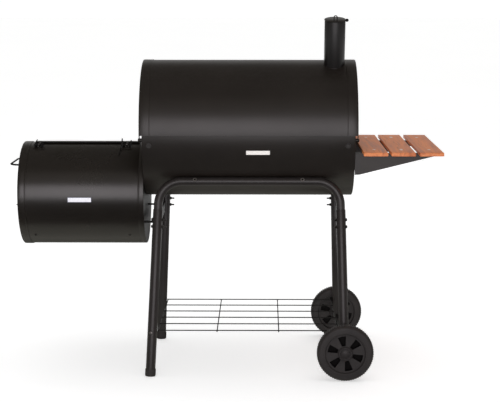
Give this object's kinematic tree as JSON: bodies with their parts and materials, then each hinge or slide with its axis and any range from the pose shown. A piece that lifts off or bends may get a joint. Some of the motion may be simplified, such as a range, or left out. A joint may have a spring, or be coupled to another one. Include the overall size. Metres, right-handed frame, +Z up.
{
  "type": "barrel charcoal grill",
  "caption": "Barrel charcoal grill with a hinged half-round lid, offset side firebox, leaning chimney, slatted side shelf, wire shelf and wheels.",
  "frame": {"origin": "on the floor, under the middle of the whole grill's box", "axes": "+X along the barrel from the firebox to the side shelf, +Y from the lid's hinge side to its handle side, +Z up"},
  "size_m": [1.576, 0.7086, 1.2987],
  "materials": {
    "black_paint": "semi-gloss heat-proof paint",
    "frame_paint": "satin",
    "black_plastic": "matte",
    "cast_iron": "rough",
    "zinc": "bright",
    "label": "semi-gloss",
    "stained_wood": "satin stain"
  },
  "bodies": {
    "frame": {"barrel_body": "black_paint", "lid_hinge_pin_left": "zinc", "lid_hinge_pin_right": "zinc", "grate_ledge_rear": "black_paint", "grate_ledge_front": "black_paint", "firebox": "black_paint", "firebox_inner_end": "black_paint", "firebox_hinge_bracket_left": "black_paint", "firebox_hinge_bracket_right": "black_paint", "cooking_grate_left": "cast_iron", "cooking_grate_right": "cast_iron", "charcoal_pan": "black_paint", "frame_tube_rear": "frame_paint", "frame_tube_front": "frame_paint", "leg_left_rear": "frame_paint", "leg_left_front": "frame_paint", "leg_right_rear": "frame_paint", "leg_right_front": "frame_paint", "foot_rear": "black_plastic", "foot_front": "black_plastic", "frame_bolt_rear_1": "zinc", "frame_bolt_rear_2": "zinc", "frame_bolt_front_1": "zinc", "frame_bolt_front_2": "zinc", "leg_brace_left": "frame_paint", "leg_brace_right": "frame_paint", "firebox_strut_lower": "frame_paint", "firebox_strut_upper": "frame_paint", "wheel_spacer_rear": "black_plastic", "wheel_spacer_front": "black_plastic", "axle": "zinc", "wire_shelf": "frame_paint", "shelf_slat_1": "stained_wood", "shelf_slat_2": "stained_wood", "shelf_slat_3": "stained_wood", "shelf_bracket_rear": "black_paint", "shelf_bracket_front": "black_paint", "name_plate_blank": "zinc", "firebox_label_blank": "label", "barrel_bolt_left": "black_paint", "barrel_bolt_right": "black_paint", "firebox_bolt_left": "black_paint", "firebox_bolt_right": "black_paint"},
    "lid": {"lid": "black_paint", "lid_handle": "black_paint", "chimney_pipe": "black_paint", "chimney_cap_pin": "zinc"},
    "chimney_cap": {"chimney_cap": "black_paint"},
    "firebox_door": {"firebox_door": "black_paint", "firebox_door_handle": "black_paint"},
    "ash_drawer": {"firebox_end_cap": "black_paint", "ash_pan": "black_paint", "fire_grate": "cast_iron", "end_cap_handle": "black_paint", "damper_rivet": "zinc"},
    "damper": {"damper": "black_paint"},
    "wheel_rear": {"wheel_rear": "black_plastic", "hub_cap_rear": "black_plastic"},
    "wheel_front": {"wheel_front": "black_plastic", "hub_cap_front": "black_plastic"}
  },
  "joints": [
    {"name": "lid_hinge", "type": "hinge", "parent": "frame", "child": "lid", "pos_m": [0.097, -0.235, 0.857], "axis": [1, 0, 0], "range_deg": [0, 95]},
    {"name": "chimney_cap_swivel", "type": "hinge", "parent": "lid", "child": "chimney_cap", "pos_m": [0.451, -0.1155, 1.281], "axis": [0, -0.2251, 0.9743], "range_deg": [-100, 100]},
    {"name": "firebox_door_hinge", "type": "hinge", "parent": "frame", "child": "firebox_door", "pos_m": [-0.504, -0.065, 0.823], "axis": [1, 0, 0], "range_deg": [0, 105]},
    {"name": "ash_drawer_slide", "type": "slide", "parent": "frame", "child": "ash_drawer", "axis": [-1, 0, 0], "range_m": [0, 0.4]},
    {"name": "damper_swivel", "type": "hinge", "parent": "ash_drawer", "child": "damper", "pos_m": [-0.7467, 0, 0.625], "axis": [1, 0, 0], "range_deg": [-75, 75]},
    {"name": "wheel_rear_spin", "type": "hinge", "parent": "frame", "child": "wheel_rear", "pos_m": [0.4445, -0.33, 0.102], "axis": [0, 1, 0], "continuous": true},
    {"name": "wheel_front_spin", "type": "hinge", "parent": "frame", "child": "wheel_front", "pos_m": [0.4445, 0.33, 0.102], "axis": [0, 1, 0], "continuous": true}
  ]
}
